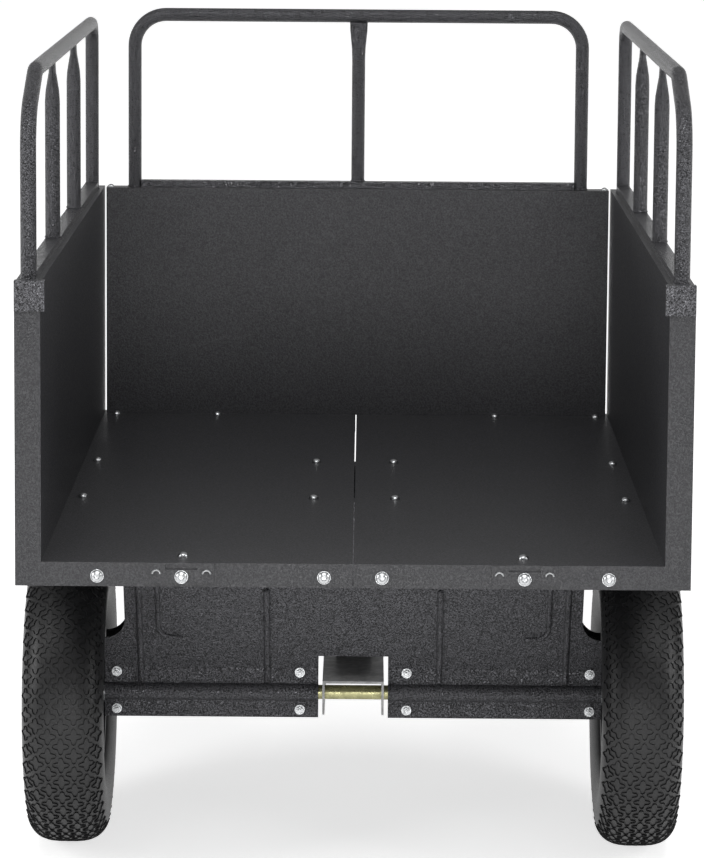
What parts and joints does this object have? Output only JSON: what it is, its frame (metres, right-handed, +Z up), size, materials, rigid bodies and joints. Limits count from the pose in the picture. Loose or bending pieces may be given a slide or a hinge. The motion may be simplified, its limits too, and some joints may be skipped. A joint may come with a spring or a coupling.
{
  "type": "tipping garden dump cart",
  "caption": "Two-wheel steel dump cart with a flat bed, three fixed walls with tube rails, an open rear, a drawbar with a hitch clevis, and a bed that tips on the axle.",
  "frame": {"origin": "on the ground, under the middle of the whole parked cart", "axes": "+X to the cart's right, +Y forward to the hitch, +Z up; the cart is parked nose-down with its hitch on the ground"},
  "size_m": [0.852, 1.9021, 1.1287],
  "materials": {
    "dark_paint": "dark grey hammered powder coat",
    "rim_paint": "black satin paint",
    "galvanised": "galvanised",
    "bright_zinc": "bright zinc",
    "yellow_zinc": "yellow zinc",
    "tyre": "black rubber"
  },
  "bodies": {
    "drawbar": {"pivot_channel": "galvanised", "drawbar_tube": "dark_paint", "hitch_clevis": "dark_paint", "latch_ears": "dark_paint", "latch_lever": "dark_paint", "latch_pin": "bright_zinc"},
    "bed": {"floor_left": "dark_paint", "left_wall": "dark_paint", "left_rail_hoop": "dark_paint", "left_rail_bar": "dark_paint", "left_rail_rear_post": "dark_paint", "left_rail_front_post": "dark_paint", "left_rear_cap": "dark_paint", "left_gate_catch": "dark_paint", "left_axle_spacer": "bright_zinc", "left_axle_washer": "bright_zinc", "floor_right": "dark_paint", "right_wall": "dark_paint", "right_rail_hoop": "dark_paint", "right_rail_bar": "dark_paint", "right_rail_rear_post": "dark_paint", "right_rail_front_post": "dark_paint", "right_rear_cap": "dark_paint", "right_gate_catch": "dark_paint", "right_axle_spacer": "bright_zinc", "right_axle_washer": "bright_zinc", "front_wall": "dark_paint", "front_rail_hoop": "dark_paint", "front_rail_bar": "dark_paint", "front_rail_post": "dark_paint", "rear_cross_rail": "dark_paint", "rear_axle_panel": "dark_paint", "front_cross_rail": "dark_paint", "front_axle_panel": "dark_paint", "axle": "yellow_zinc", "bed_stop": "dark_paint", "latch_striker": "bright_zinc"},
    "left_wheel": {"left_tyre": "tyre", "left_rim": "rim_paint", "left_hub": "rim_paint"},
    "right_wheel": {"right_tyre": "tyre", "right_rim": "rim_paint", "right_hub": "rim_paint"}
  },
  "joints": [
    {"name": "bed_tip", "type": "hinge", "parent": "drawbar", "child": "bed", "pos_m": [0, -0.38652, 0.2032], "axis": [1, 0, 0], "range_deg": [0, 45]},
    {"name": "left_wheel_spin", "type": "hinge", "parent": "bed", "child": "left_wheel", "pos_m": [-0.3735, -0.38652, 0.2032], "axis": [1, 0, 0], "continuous": true},
    {"name": "right_wheel_spin", "type": "hinge", "parent": "bed", "child": "right_wheel", "pos_m": [0.3735, -0.38652, 0.2032], "axis": [1, 0, 0], "continuous": true}
  ]
}
